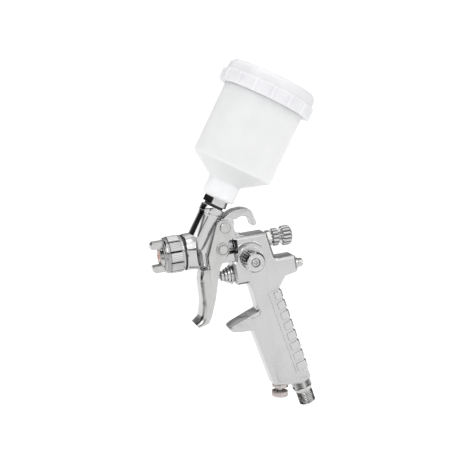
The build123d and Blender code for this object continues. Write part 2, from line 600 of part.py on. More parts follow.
# ================================================================ air valve
def air_valve_nut():
    face = VALVE_SEAT
    bore, packing = STEM_R + 0.2, VALVE_PACKING_R
    nut = turned((bore, VALVE_NUT_TIP), (3.3, VALVE_NUT_TIP), (3.9, VALVE_NUT_TIP + 0.6),
                 (3.9, VALVE_NUT_TIP + 2.4), (5.1, VALVE_NUT_TIP + 3.2), (5.1, VALVE_NUT_TIP + 4.4),
                 (6.3, VALVE_NUT_TIP + 5.6), (6.3, VALVE_NUT_TIP + 6.8), (VALVE_NUT_R, VALVE_NUT_TIP + 7.8),
                 (VALVE_NUT_R, face - 1.9), (VALVE_THREAD_R + 0.6, face - 1.9),
                 (VALVE_THREAD_R + 0.6, face - 1.2), (VALVE_THREAD_R, face - 1.2),
                 (VALVE_THREAD_R, face + VALVE_THREAD), (packing, face + VALVE_THREAD), (packing, face - 2),
                 (bore, face - 2))
    return VALVE * nut


def air_valve_packing():
    face = VALVE_SEAT
    return VALVE * tube(VALVE_PACKING_R, STEM_R + RUN, face - 2, face + 2.5)


def air_valve_stem():
    return VALVE * turned((0, STEM_TIP), (STEM_R - 0.6, STEM_TIP), (STEM_R, STEM_TIP + 0.6),
                          (STEM_R, STEM_END), (0, STEM_END))


def air_valve_seat():
    return VALVE * tube(VALVE_BORE_R, STEM_R + 1.3, SEAT_X, SEAT_X + SEAT_T)


def air_valve_poppet():
    start = SEAT_X + SEAT_T + SEAT
    return VALVE * tube(STEM_R + 2.1, STEM_R, start, start + POPPET_T)


def air_valve_spring():
    start = SEAT_X + SEAT_T + SEAT + POPPET_T + SEAT
    return VALVE * coil(STEM_R + 1.5, 0.45, start, PLUG_FRONT - SEAT, 7)


def air_valve_plug():
    plug = turned((0, PLUG_FRONT), (VALVE_BORE_R, PLUG_FRONT), (VALVE_BORE_R, TAIL_BACK),
                  (PLUG_R + 0.9, TAIL_BACK), (PLUG_R + 0.9, TAIL_BACK + 2.4), (PLUG_R, TAIL_BACK + 3),
                  (PLUG_R, PLUG_END - 0.8), (PLUG_R - 0.8, PLUG_END), (0, PLUG_END))
    slot = Pos(0, 0, PLUG_END) * Box(12, 1.2, 2.4)
    return VALVE * (plug - slot)


# ================================================================ fan control
FAN_SEAT = BODY_HALF + PAD_T
FAN_KNOB_BASE = FAN_SEAT + FAN_FLANGE_T + SEAT
FAN_KNOB_FACE = FAN_KNOB_BASE + FAN_KNOB_LENGTH


def screw_bush(flange_r, flange_t, body_r, depth, stem_r, cavity, seat=0.0):
    """Gland screwed in flush from outside: local Z points out, the ring groove is inside."""
    solid = rod(body_r, seat - depth, seat) + rod(flange_r, seat, seat + flange_t)
    pocket = rod(stem_r + ORING_R * 1.4, seat - depth - 1, seat - depth + cavity)
    return solid - rod(stem_r + RUN, seat - depth - 1, seat + flange_t + 1) - pocket


def fan_bush():
    return FAN * screw_bush(FAN_FLANGE_R, FAN_FLANGE_T, FAN_BORE_R, FAN_BUSH_DEPTH, FAN_STEM_R, 5.6, FAN_SEAT)


def stem_with_groove(stem_r, tip, ring_at, end):
    groove = stem_r - 0.65
    return turned((0, tip), (0.8, tip), (stem_r, tip + 2.4), (stem_r, ring_at - 1.1), (groove, ring_at - 1.1),
                  (groove, ring_at + 1.1), (stem_r, ring_at + 1.1), (stem_r, end), (0, end))


FAN_RING_AT = FAN_SEAT - FAN_BUSH_DEPTH + 1.4


def fan_stem():
    stem = stem_with_groove(FAN_STEM_R, -2.6, FAN_RING_AT, FAN_KNOB_FACE - 3)
    return FAN * (stem - rod(SCREW_SHANK_R, FAN_KNOB_FACE - 8, FAN_KNOB_FACE))


def fan_oring():
    return FAN * oring(FAN_STEM_R - 0.65 + RUN + ORING_R, ORING_R, FAN_RING_AT)


def fan_knob():
    top = FAN_KNOB_FACE
    knob = turned((FAN_STEM_R, FAN_KNOB_BASE), (FAN_KNOB_R - 0.6, FAN_KNOB_BASE),
                  (FAN_KNOB_R, FAN_KNOB_BASE + 0.6), (FAN_KNOB_R, top - 1.6), (FAN_KNOB_R - 1.0, top - 0.4),
                  (FAN_KNOB_R - 1.2, top), (SCREW_R + 0.4, top), (SCREW_R + 0.4, top - SCREW_SUNK),
                  (SCREW_SHANK_R, top - SCREW_SUNK), (SCREW_SHANK_R, top - 3), (FAN_STEM_R, top - 3))
    return FAN * (knob - knurl(FAN_KNOB_R + 0.25, 30, 0.55, FAN_KNOB_BASE - 1, top - 1.2))


def fan_knob_screw():
    top = FAN_KNOB_FACE + 0.1
    under = FAN_KNOB_FACE - SCREW_SUNK
    screw = turned((0, top - 8), (SCREW_SHANK_R, top - 8), (SCREW_SHANK_R, under), (SCREW_R, under),
                   (SCREW_R, top - 0.5), (SCREW_R - 0.5, top), (0, top))
    cross = Pos(0, 0, top) * (Box(3.4, 0.8, 1.8) + Box(0.8, 3.4, 1.8))
    return FAN * (screw - cross)


# ================================================================ air regulator
def regulator_bush():
    bush = screw_bush(REG_FLANGE_R, REG_FLANGE_T, REG_BORE_R, REG_BUSH_DEPTH, REG_STEM_R, 9.4)
    slot = Pos(0, -REG_FLANGE_R, REG_FLANGE_T) * Box(2.2, 2.4, 1.0)
    return REGULATOR * (bush - slot)


REG_RING_AT = 5.0 - REG_BUSH_DEPTH


def regulator_stem():
    stem = stem_with_groove(REG_STEM_R, -REG_DEPTH + 4.5, REG_RING_AT, REG_KNOB_TOP + REG_KNOB_T - 1.2)
    return REGULATOR * stem


def regulator_oring():
    return REGULATOR * oring(REG_STEM_R - 0.65 + RUN + ORING_R, ORING_R, REG_RING_AT)


def regulator_knob():
    """Shallow knurled knob, hollow towards the grip, with spokes across the hollow."""
    end = REG_KNOB_TOP + REG_KNOB_T
    hub, rim = REG_STEM_R + 1.2, REG_KNOB_R - 1.0
    knob = turned((REG_STEM_R, REG_KNOB_TOP + 0.6), (hub, REG_KNOB_TOP + 0.6), (hub, end - 1.6),
                  (rim, end - 1.6), (rim, REG_KNOB_TOP),
                  (REG_KNOB_R, REG_KNOB_TOP), (REG_KNOB_R, end - 0.5), (REG_KNOB_R - 0.5, end),
                  (REG_STEM_R, end))
    reach = REG_KNOB_R - 0.8 - REG_STEM_R - 0.6
    spoke = Pos(REG_STEM_R + 0.6 + reach / 2, 0, (REG_KNOB_TOP + 0.8 + end - 1.5) / 2) * Box(
        reach, 1.0, end - 1.5 - REG_KNOB_TOP - 0.8)
    spokes = [Rot(0, 0, 60 * i) * spoke for i in range(6)]
    return REGULATOR * (knob + spokes - knurl(REG_KNOB_R + 0.3, 36, 0.5, REG_KNOB_TOP - 1, end + 1))


# ================================================================ air inlet
def air_inlet():
    end = INLET_SEAT + INLET_THREAD
    r = INLET_THREAD_R
    shank, edge = INLET_SHANK_R, INLET_AF / 2 + 0.6
    body = turned((INLET_BORE_R, -INLET_SHANK), (shank, -INLET_SHANK), (shank, 0), (edge - 0.4, 0),
                  (edge - 0.4, INLET_HEX), (edge, INLET_HEX), (edge, INLET_HEX + 0.8), (r - 0.58, INLET_SEAT),
                  (r, INLET_SEAT), (r, end - 0.8), (r - 0.8, end), (INLET_BORE_R + 0.8, end),
                  (INLET_BORE_R, end - 3))
    nut = hexagon(INLET_AF, 0, INLET_HEX) - rod(6, -1, INLET_HEX + 1)
    return INLET * (body + nut)


# ================================================================ cup
def inlet_collar():
    sleeve_end = SPOUT_TOP - INSERT_LENGTH
    return CUP * turned((STUD_R + RUN, sleeve_end), (INSERT_R, sleeve_end), (INSERT_R, SPOUT_TOP),
                        (INLET_COLLAR_R, SPOUT_TOP), (INLET_COLLAR_R, COLLAR_TOP - 0.5),
                        (INLET_COLLAR_R - 0.5, COLLAR_TOP), (STUD_R + RUN, COLLAR_TOP))


def connector_seal():
    return CUP * tube(7.4, STUD_R + RUN, COLLAR_TOP + SEAT, COLLAR_TOP + SEAT + SEAL_T)


def cup_connector():
    nut_bottom = COLLAR_TOP + SEAT + SEAL_T + SEAT
    lower = rod(STUD_R, COLLAR_TOP - 14, nut_bottom)
    nut = hexagon(NUT_AF, nut_bottom, NUT_TOP) & turned(
        (0, nut_bottom), (9.3, nut_bottom), (9.9, nut_bottom + 0.5), (9.9, NUT_TOP - 0.5), (9.3, NUT_TOP),
        (0, NUT_TOP))
    upper = rod(CONNECTOR_R, NUT_TOP, NECK_TOP)
    bore = rod(3.2, 0, NECK_TOP - 8)
    return CUP * (lower + nut + upper - bore - rod(FILTER_POCKET_R, NECK_TOP - 8, NECK_TOP + 1))


def cup_seal():
    return CUP * tube(9.6, CONNECTOR_R, NUT_TOP, NECK_BOTTOM)


def paint_filter():
    can_r = FILTER_POCKET_R - 0.2
    can = tube(can_r, can_r - 0.8, NECK_TOP - 7.6, NECK_TOP + 4)
    can += tube(CONNECTOR_R - 0.4, can_r - 0.8, NECK_TOP + 0.2, NECK_TOP + 1.4)
    slots = [Rot(0, 0, 30 * i) * Pos(can_r - 0.4, 0, NECK_TOP - 3.4) * Box(3, 1.2, 6) for i in range(6)]
    return CUP * (can - slots)


def cup():
    floor = NECK_TOP
    wall = CUP_R - CUP_WALL
    shell = turned((CONNECTOR_R, NECK_BOTTOM), (NECK_R - 1.2, NECK_BOTTOM), (NECK_R, NECK_BOTTOM + 1.2),
                   (NECK_R, NECK_TOP - 0.5), (CUP_R - 1.2, SHOULDER - 0.6), (CUP_R, SHOULDER + 1.4),
                   (CUP_R, RIM), (wall, RIM), (wall, SHOULDER + 1.6), (wall - 0.8, SHOULDER + 0.4),
                   (9.4, floor + 0.2), (CONNECTOR_R, floor))
    return CUP * shell


def lid_gasket():
    return CUP * tube(CUP_R, CUP_R - 3, RIM + SEAT, RIM + SEAT + GASKET_T)


def lid():
    inner = CUP_R + GAP
    roof = RIM + SEAT + GASKET_T + SEAT
    shell = turned((inner, LID_BOTTOM), (LID_R, LID_BOTTOM), (LID_R, LID_BOTTOM + LID_BAND),
                   (LID_R - 0.9, LID_BOTTOM + LID_BAND + 0.9), (LID_R - 1.6, LID_TOP - 3),
                   (LID_R - 4.2, LID_TOP),
                   (VENT_R + 0.6, LID_TOP), (VENT_R + 0.6, roof), (inner, roof))
    plug = tube(VENT_R + 1.6, VENT_R - 0.8, roof, LID_TOP)
    rib = Pos(LID_R, 0, LID_BOTTOM + LID_BAND / 2) * Box(2 * LID_RIB, 2.2, LID_BAND)
    ribs = [Rot(0, 0, 360 * (i + 0.5) / LID_RIBS) * rib for i in range(LID_RIBS)]
    return CUP * (shell + plug + ribs)


def vent_cap():
    base = LID_TOP + SEAT
    plug_r = VENT_R - 0.8 - RUN
    return CUP * turned((0, RIM + 3), (plug_r, RIM + 3), (plug_r, base), (VENT_R, base),
                        (VENT_R, base + 1.2), (VENT_R - 0.7, base + 1.9), (0, base + 1.9))


PIECES = [gun_body, inlet_collar, fluid_nozzle, air_distributor, head_seal, retaining_ring, air_cap,
          cap_washer, needle, needle_collar, needle_packing, packing_nut, needle_spring, spring_button,
          fluid_bush, fluid_lock_ring, fluid_knob, trigger, needle_pin, pin_washers, trigger_pivot,
          pivot_nut, air_valve_nut, air_valve_packing, air_valve_stem, air_valve_seat, air_valve_poppet,
          air_valve_spring, air_valve_plug, fan_bush, fan_stem, fan_oring, fan_knob, fan_knob_screw,
          regulator_bush, regulator_stem, regulator_oring, regulator_knob, air_inlet, connector_seal,
          cup_connector, cup_seal, paint_filter, cup, lid_gasket, lid, vent_cap]


def save(piece):
    """Write one piece to its own STEP file, in the row's frame."""
    shape = piece()
    solids = shape if isinstance(shape, list) else shape.solids()
    home = Location(-ORIGIN)
    placed = [home * solid for solid in solids]
    part = placed[0] if len(placed) == 1 else Compound(children=placed)
    export_step(part, f"parts/{piece.__name__}.step")
    print(f"{piece.__name__:20s} {len(placed)} solid(s) {sum(s.volume for s in placed):10.1f} mm3")


if __name__ == "__main__":
    os.makedirs("parts", exist_ok=True)
    for made in PIECES:
        save(made)
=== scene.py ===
# %% [markdown]
# # A gravity-feed mini spray gun
# The gun is a plated zinc casting with turned fittings screwed into it and a milky plastic cup on top.
# The CAD model already has every piece at its place and size.  Here the pieces get their small shapes
# (threads, knurls, soft corners) and their finishes, and nothing is moved.

# %% Load the frame
import json
import math
import bmesh
import bpy
import numpy as np
from mathutils import Matrix, Vector


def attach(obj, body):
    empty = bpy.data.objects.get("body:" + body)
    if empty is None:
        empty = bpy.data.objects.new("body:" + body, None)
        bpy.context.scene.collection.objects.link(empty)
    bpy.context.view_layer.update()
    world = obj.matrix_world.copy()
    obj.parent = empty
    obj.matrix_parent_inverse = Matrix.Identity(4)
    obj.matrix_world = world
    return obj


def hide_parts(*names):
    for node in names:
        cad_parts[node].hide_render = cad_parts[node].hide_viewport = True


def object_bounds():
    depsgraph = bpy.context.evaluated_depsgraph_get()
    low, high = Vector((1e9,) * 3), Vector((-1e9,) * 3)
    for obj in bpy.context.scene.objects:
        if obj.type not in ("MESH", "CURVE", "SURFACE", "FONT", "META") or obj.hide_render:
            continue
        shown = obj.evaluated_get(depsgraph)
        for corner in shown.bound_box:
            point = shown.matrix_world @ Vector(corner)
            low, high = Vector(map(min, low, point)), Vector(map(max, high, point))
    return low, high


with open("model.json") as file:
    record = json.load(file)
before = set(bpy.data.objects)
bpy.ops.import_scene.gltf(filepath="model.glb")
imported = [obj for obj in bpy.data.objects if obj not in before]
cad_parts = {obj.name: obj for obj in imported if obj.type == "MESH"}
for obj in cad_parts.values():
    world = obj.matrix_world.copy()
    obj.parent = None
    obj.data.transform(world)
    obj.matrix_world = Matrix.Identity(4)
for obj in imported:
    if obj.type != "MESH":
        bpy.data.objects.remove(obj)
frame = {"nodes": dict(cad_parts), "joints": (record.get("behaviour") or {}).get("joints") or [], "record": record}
cad_low, cad_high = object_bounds()
joints = {joint["name"]: joint for joint in frame["joints"]}
mounts = {mount["name"]: mount for mount in frame["record"]["mounts"]}
body_of_node = {node: body for body, members in frame["record"]["behaviour"]["bodies"].items() for node in members}
MM = 0.001

# %% [markdown]
# ## Lines of the gun
# Nearly everything on a spray gun is turned on a lathe, so it has an axis.  The joints and the inlet's
# mount say where those axes are, so a turned piece can be drawn as radius against height along its line,
# and a measured CAD node says how long and how wide it may be.


# %% Lines and measuring
class Line:
    """An axis: a foot point, a direction w and two directions u, v across it, with u x v = w."""

    def __init__(self, foot, direction):
        self.foot = np.array(foot, float)
        self.w = np.array(direction, float) / np.linalg.norm(direction)
        side = np.array((0.0, 1.0, 0.0)) if abs(self.w[1]) < 0.9 else np.array((0.0, 0.0, 1.0))
        self.u = np.cross(side, self.w)
        self.v = side

    def place(self, radius, angle, height):
        """Point = foot + height * w + radius * (cos(angle) * u + sin(angle) * v), for whole arrays."""
        across = np.multiply.outer(np.cos(angle), self.u) + np.multiply.outer(np.sin(angle), self.v)
        return self.foot + np.multiply.outer(height, self.w) + radius[..., None] * across

    def measure(self, node):
        """(lowest height, highest height, largest radius) of a CAD node about this line, in mm."""
        mesh = frame["nodes"][node].data
        points = np.empty(len(mesh.vertices) * 3)
        mesh.vertices.foreach_get("co", points)
        points = points.reshape(-1, 3) - self.foot
        height = points @ self.w
        radius = np.linalg.norm(points - np.multiply.outer(height, self.w), axis=1)
        return height.min() / MM, height.max() / MM, radius.max() / MM


def joint_line(name):
    """The axis of a joint."""
    return Line(joints[name]["pos_m"], joints[name]["axis"])


BARREL = joint_line("fluid_turn")
CUP = joint_line("cup_turn")
FAN = joint_line("fan_turn")
INLET = Line(mounts["air_inlet"]["pos_m"], mounts["air_inlet"]["axis"])
HEAD = np.array(joints["ring_turn"]["pos_m"])
print("cup line leans", round(math.degrees(math.acos(CUP.w[2])), 1), "degrees")

# %% [markdown]
# ## Camera and light
# The gun is seen from its left side, a little from the front and from above, with the camera rolled so
# that the barrel rises to the back.  Chrome shows only what stands round it, so the studio matters more
# than the metal: a white tent with a few dark flags gives the black edges and the bright strips.  The
# world shader paints that tent by direction, which is cheaper than building it.  Only reflections see it:
# the picture's background and the soft light on the plastic are plain white.

# %% Camera
CAMERA_AZIMUTH = math.radians(15)      # towards the nozzle from square on
CAMERA_ELEVATION = math.radians(12)
CAMERA_ROLL = math.radians(6.4)
CAMERA_DISTANCE = 0.8
CAMERA_LENS, CAMERA_SENSOR = 82.4, 36  # mm
LOOK_RIGHT, LOOK_UP = 0.0374, 0.0146   # middle of the view from the head, in the view's plane

back = np.array((-math.sin(CAMERA_AZIMUTH) * math.cos(CAMERA_ELEVATION),
                 -math.cos(CAMERA_AZIMUTH) * math.cos(CAMERA_ELEVATION), math.sin(CAMERA_ELEVATION)))
level = np.array((math.cos(CAMERA_AZIMUTH), -math.sin(CAMERA_AZIMUTH), 0.0))
upright = np.cross(back, level)
right = level * math.cos(CAMERA_ROLL) - upright * math.sin(CAMERA_ROLL)
up = level * math.sin(CAMERA_ROLL) + upright * math.cos(CAMERA_ROLL)
stand = HEAD + CAMERA_DISTANCE * back + LOOK_RIGHT * right + LOOK_UP * up
camera = bpy.data.objects.new("camera", bpy.data.cameras.new("camera"))
camera.data.lens = CAMERA_LENS
camera.data.sensor_width = CAMERA_SENSOR
camera.matrix_world = Matrix(np.block([[np.column_stack((right, up, back)), stand[:, None]], [0, 0, 0, 1]]))
bpy.context.scene.collection.objects.link(camera)
bpy.context.scene.camera = camera
bpy.context.scene.view_settings.view_transform = "Standard"
print("camera at", np.round(stand, 3))


# %% Node helpers
def add(tree, kind, values=None, **settings):
    """New shader node with its settings and its unlinked input values."""
    node = tree.nodes.new("ShaderNode" + kind)
    for key, value in settings.items():
        setattr(node, key, value)
    for key, value in (values or {}).items():
        node.inputs[key].default_value = value
    return node


def wire(tree, *ends):
    """Links outputs to inputs: wire(tree, out, into, out, into, ...)."""
    for source, target in zip(ends[::2], ends[1::2]):
        tree.links.new(source, target)


def ramp(tree, factor, *stops, smooth=True):
    """Colour ramp with (place, grey or colour) stops."""
    node = add(tree, "ValToRGB")
    node.color_ramp.interpolation = "EASE" if smooth else "LINEAR"
    elements = node.color_ramp.elements
    while len(elements) < len(stops):
        elements.new(0.5)
    for element, (place, shade) in zip(elements, stops):
        element.position = place
        element.color = (*((shade,) * 3 if np.isscalar(shade) else shade), 1)
    wire(tree, factor, node.inputs["Fac"])
    return node.outputs["Color"]


# %% Studio
WHITE_TENT = 1.9
world = bpy.data.worlds.new("studio")
world.use_nodes = True
bpy.context.scene.world = world
tree = world.node_tree
tree.nodes.clear()
direction = add(tree, "TexCoord").outputs["Generated"]
parts = add(tree, "SeparateXYZ")
turn = add(tree, "Math", operation="ARCTAN2")
share = add(tree, "MapRange", {"From Min": -math.pi, "From Max": math.pi})
height = add(tree, "MapRange", {"From Min": -1, "From Max": 1})
wire(tree, direction, parts.inputs[0], parts.outputs["Y"], turn.inputs[0], parts.outputs["X"], turn.inputs[1],
     turn.outputs[0], share.inputs["Value"], parts.outputs["Z"], height.inputs["Value"])
# going round from -X over -Y (the camera's side), +X and +Y back to -X: a black flag on the left, a white
# strip, the camera's own grey gap, a broad pale wall, a white strip and a dark flag behind on the right
around = ramp(tree, share.outputs["Result"], (0.0, 0.01), (0.032, 0.01), (0.045, 0.95), (0.158, 1.0),
              (0.172, 0.1), (0.188, 0.14), (0.205, 0.8), (0.30, 1.0), (0.44, 0.6), (0.47, 1.0), (0.50, 1.0),
              (0.52, 0.04), (0.62, 0.02), (0.67, 0.36), (0.83, 0.36), (0.875, 0.02), (1.0, 0.01), smooth=False)
upwards = ramp(tree, height.outputs["Result"], (0.0, 0.6), (0.50, 0.6), (0.60, 0.7), (0.64, 0.12), (0.68, 0.12),
               (0.72, 0.9), (0.88, 1.0), (0.93, 0.8), (0.96, 1.0), (1.0, 0.9), smooth=False)
tent = add(tree, "Mix", {"Factor": 1.0}, data_type="RGBA", blend_type="MULTIPLY")
tent_light = add(tree, "Background", {"Strength": WHITE_TENT})
plain = add(tree, "Background", {"Color": (1, 1, 1, 1), "Strength": 1.0})
chosen = add(tree, "MixShader")
output = add(tree, "OutputWorld")
wire(tree, around, tent.inputs["A"], upwards, tent.inputs["B"], tent.outputs["Result"], tent_light.inputs["Color"],
     add(tree, "LightPath").outputs["Is Glossy Ray"], chosen.inputs[0], plain.outputs[0], chosen.inputs[1],
     tent_light.outputs[0], chosen.inputs[2], chosen.outputs[0], output.inputs["Surface"])


def softbox(name, place, size, power):
    """Rectangular area light at place, in metres from the head, aimed at the head."""
    light = bpy.data.lights.new(name, "AREA")
    light.shape = "RECTANGLE"
    light.size, light.size_y = size
    light.energy = power
    lamp = bpy.data.objects.new(name, light)
    lamp.location = Vector(HEAD) + Vector(place)
    lamp.rotation_euler = (-Vector(place)).to_track_quat("-Z", "Y").to_euler()
    bpy.context.scene.collection.objects.link(lamp)


softbox("key_light", (-0.45, -0.75, 0.75), (0.5, 0.5), 2.2)
softbox("side_light", (0.8, -0.6, 0.35), (0.25, 0.8), 1.4)
softbox("top_light", (0.1, 0.2, 1.0), (0.8, 0.8), 1.2)
print("studio made")

# %% Floor
FLOOR_DROP, FLOOR_REACH = 0.03, 12.0
FLOOR_GLOW = 0.78                      # keeps the paper white however little light falls on it
floor_mesh = bpy.data.meshes.new("floor")
low = cad_low.z - FLOOR_DROP
floor_mesh.from_pydata([(x * FLOOR_REACH, y * FLOOR_REACH, low) for x, y in ((-1, -1), (1, -1), (1, 1), (-1, 1))],
                       [], [(0, 1, 2, 3)])
floor = bpy.data.objects.new("floor", floor_mesh)
bpy.context.scene.collection.objects.link(floor)
paper = bpy.data.materials.new("white_paper")
paper.use_nodes = True
tree = paper.node_tree
shader = tree.nodes["Principled BSDF"]
shader.inputs["Roughness"].default_value = 0.9
shader.inputs["Emission Color"].default_value = (1, 1, 1, 1)
shader.inputs["Emission Strength"].default_value = FLOOR_GLOW
fibre = add(tree, "TexNoise", {"Scale": 60.0, "Detail": 4.0})
wire(tree, add(tree, "TexCoord").outputs["Object"], fibre.inputs["Vector"],
     ramp(tree, fibre.outputs["Fac"], (0.3, 0.29), (0.7, 0.32)), shader.inputs["Base Color"])
floor_mesh.materials.append(paper)
print("floor at", round(low, 4))

# %% Dark cards
# Two cards outside the picture darken what the rounded edges mirror: one lies on the floor to the left,
# one stands to the right.  They are seen only in reflections and throw no shadow.
dark_card = bpy.data.materials.new("dark_card")
dark_card.use_nodes = True
dark_card.node_tree.nodes["Principled BSDF"].inputs["Base Color"].default_value = (0.25, 0.25, 0.25, 1)
dark_card.node_tree.nodes["Principled BSDF"].inputs["Roughness"].default_value = 0.9


def card(name, corners):
    """Dark card through four corners, each in metres from the head on the floor."""
    mesh = bpy.data.meshes.new(name)
    mesh.from_pydata([(HEAD[0] + x, HEAD[1] + y, low + z) for x, y, z in corners], [], [(0, 1, 2, 3)])
    mesh.materials.append(dark_card)
    thing = bpy.data.objects.new(name, mesh)
    bpy.context.scene.collection.objects.link(thing)
    thing.visible_camera = thing.visible_shadow = thing.visible_diffuse = False


LIFT, RIGHT_TALL = 0.002, 0.2
card("card_left", [(-1.6, -0.7, LIFT), (-0.42, -0.7, LIFT), (-0.42, 0.5, LIFT), (-1.6, 0.5, LIFT)])
card("card_right", [(0.55, -0.06, 0), (0.75, 0.9, 0), (0.75, 0.9, RIGHT_TALL), (0.55, -0.06, RIGHT_TALL)])
print("cards placed")


# %% [markdown]
# ## Finishes
# A finish is a shader with three things measured in real sizes: how its colour wanders, how sharp its
# reflection is, and the tiny relief that breaks the reflection up.  Noise is read in object coordinates,
# which are metres here, so a scale of 1000 is a pattern of about a millimetre.

# %% Finish helpers
finishes = {}


def finish(slot, colour, roughness, metallic=1.0):
    """Material of a record slot, with its uniform values set on the shader's own sockets."""
    material = bpy.data.materials.new(slot)
    material.use_nodes = True
    bsdf = material.node_tree.nodes["Principled BSDF"]
    bsdf.inputs["Base Color"].default_value = (*colour, 1)
    bsdf.inputs["Roughness"].default_value = roughness
    bsdf.inputs["Metallic"].default_value = metallic
    finishes[slot] = material
    return material.node_tree, bsdf


def grain(tree, scale, detail=3.0, stretch=(1, 1, 1)):
    """Noise in object space; stretch squeezes it along X, Y, Z to make brushed lines."""
    mapping = add(tree, "Mapping", {"Scale": stretch})
    noise = add(tree, "TexNoise", {"Scale": scale, "Detail": detail})
    wire(tree, add(tree, "TexCoord").outputs["Object"], mapping.inputs["Vector"],
         mapping.outputs["Vector"], noise.inputs["Vector"])
    return noise.outputs["Fac"]


def darken_grooves(tree, bsdf):
    """Multiplies the base colour down where a piece's own 'groove' attribute is near 1: light is lost there."""
    socket = bsdf.inputs["Base Color"]
    shade = ramp(tree, add(tree, "Attribute", attribute_name="groove").outputs["Fac"], (0, 1.0), (1, 0.06),
                 smooth=False)
    mix = add(tree, "Mix", {"Factor": 1.0}, data_type="RGBA", blend_type="MULTIPLY")
    mix.inputs["A"].default_value = socket.default_value
    if socket.is_linked:
        wire(tree, socket.links[0].from_socket, mix.inputs["A"])
    wire(tree, shade, mix.inputs["B"], mix.outputs["Result"], socket)


def soft_edges(tree, radius_mm):
    """Shading normal that turns round every edge of the piece over radius_mm, as a cast corner does."""
    return add(tree, "Bevel", {"Radius": radius_mm * MM}, samples=8)


def relief(tree, bsdf, height, depth_mm, over=None):
    """Bump of depth_mm between the noise's black and white, laid over an earlier bump."""
    bump = add(tree, "Bump", {"Strength": 1.0, "Distance": depth_mm * MM})
    wire(tree, height, bump.inputs["Height"])
    if over:
        wire(tree, over.outputs["Normal"], bump.inputs["Normal"])
    wire(tree, bump.outputs["Normal"], bsdf.inputs["Normal"])
    return bump


def vary(tree, factor, bsdf, socket, low, high):
    """Lets a socket wander from low to high with a factor around one half."""
    wire(tree, ramp(tree, factor, (0.35, low), (0.65, high)), bsdf.inputs[socket])


# %% Plated casting
# Satin chrome over a die casting: fine pearl from the blasted surface and slow waves of the mould.
tree, bsdf = finish("satin_chrome", (0.53, 0.53, 0.53), 0.25)
vary(tree, grain(tree, 60), bsdf, "Base Color", (0.52, 0.52, 0.523), (0.545, 0.545, 0.545))
vary(tree, grain(tree, 300), bsdf, "Roughness", 0.22, 0.28)
pearl = relief(tree, bsdf, grain(tree, 2600, 2), 0.0008, soft_edges(tree, 0.9))
relief(tree, bsdf, grain(tree, 90, 0), 0.02, pearl)

# %% Polished plate
# Bright chrome on turned and buffed pieces: nearly a mirror, with buffing waves and a haze of hairlines.
tree, bsdf = finish("polished_chrome", (0.54, 0.54, 0.545), 0.07)
vary(tree, grain(tree, 900, 4, (1, 1, 6)), bsdf, "Roughness", 0.05, 0.12)
relief(tree, bsdf, grain(tree, 140, 0), 0.02, soft_edges(tree, 0.3))
darken_grooves(tree, bsdf)

# %% Satin nickel
tree, bsdf = finish("satin_nickel", (0.51, 0.507, 0.503), 0.2)
vary(tree, grain(tree, 90), bsdf, "Base Color", (0.49, 0.487, 0.483), (0.53, 0.527, 0.523))
vary(tree, grain(tree, 500, 4, (0.3, 3, 3)), bsdf, "Roughness", 0.15, 0.25)
relief(tree, bsdf, grain(tree, 3000, 2, (0.2, 1, 1)), 0.0015)
darken_grooves(tree, bsdf)

# %% Turned brass, steel and warm nickel
tree, bsdf = finish("nozzle_brass", (0.56, 0.38, 0.31), 0.26)
vary(tree, grain(tree, 300), bsdf, "Base Color", (0.48, 0.32, 0.26), (0.62, 0.43, 0.35))
vary(tree, grain(tree, 1500, 3, (6, 1, 1)), bsdf, "Roughness", 0.18, 0.32)
relief(tree, bsdf, grain(tree, 2500, 2, (4, 0.5, 0.5)), 0.004)
tree, bsdf = finish("bright_steel", (0.45, 0.45, 0.46), 0.2)
vary(tree, grain(tree, 1200, 4, (5, 1, 1)), bsdf, "Roughness", 0.13, 0.28)
relief(tree, bsdf, grain(tree, 2500, 2, (4, 0.5, 0.5)), 0.003)
tree, bsdf = finish("warm_nickel", (0.5, 0.44, 0.425), 0.22)
vary(tree, grain(tree, 250), bsdf, "Base Color", (0.46, 0.4, 0.385), (0.54, 0.485, 0.47))
vary(tree, grain(tree, 800), bsdf, "Roughness", 0.16, 0.3)
relief(tree, bsdf, grain(tree, 2600, 2), 0.004)

# %% Rubber, seals and filter
tree, bsdf = finish("black_rubber", (0.02, 0.02, 0.02), 0.65, 0.0)
vary(tree, grain(tree, 900), bsdf, "Roughness", 0.55, 0.75)
relief(tree, bsdf, grain(tree, 1800), 0.01)
tree, bsdf = finish("white_seal", (0.82, 0.82, 0.8), 0.5, 0.0)
vary(tree, grain(tree, 400), bsdf, "Base Color", (0.78, 0.78, 0.76), (0.86, 0.86, 0.84))
relief(tree, bsdf, grain(tree, 1500), 0.008)
tree, bsdf = finish("filter_nylon", (0.85, 0.85, 0.8), 0.45, 0.0)
vary(tree, grain(tree, 500), bsdf, "Base Color", (0.8, 0.8, 0.74), (0.88, 0.88, 0.84))
relief(tree, bsdf, grain(tree, 1200), 0.01)

# %% Milky plastics
# The cup's nylon lets light through but no picture: rough transmission in a thin wall, with some of the
# light scattered inside.  The lid is a softer, whiter plastic with less light passing.
SCATTER_DEPTH = 0.004


def milky(bsdf, through, bending, scattered):
    """Plastic that passes a share of the light and scatters a share of it inside."""
    bsdf.inputs["Transmission Weight"].default_value = through
    bsdf.inputs["IOR"].default_value = bending
    bsdf.inputs["Subsurface Weight"].default_value = scattered
    bsdf.inputs["Subsurface Radius"].default_value = (1.0, 1.0, 1.0)
    bsdf.inputs["Subsurface Scale"].default_value = SCATTER_DEPTH


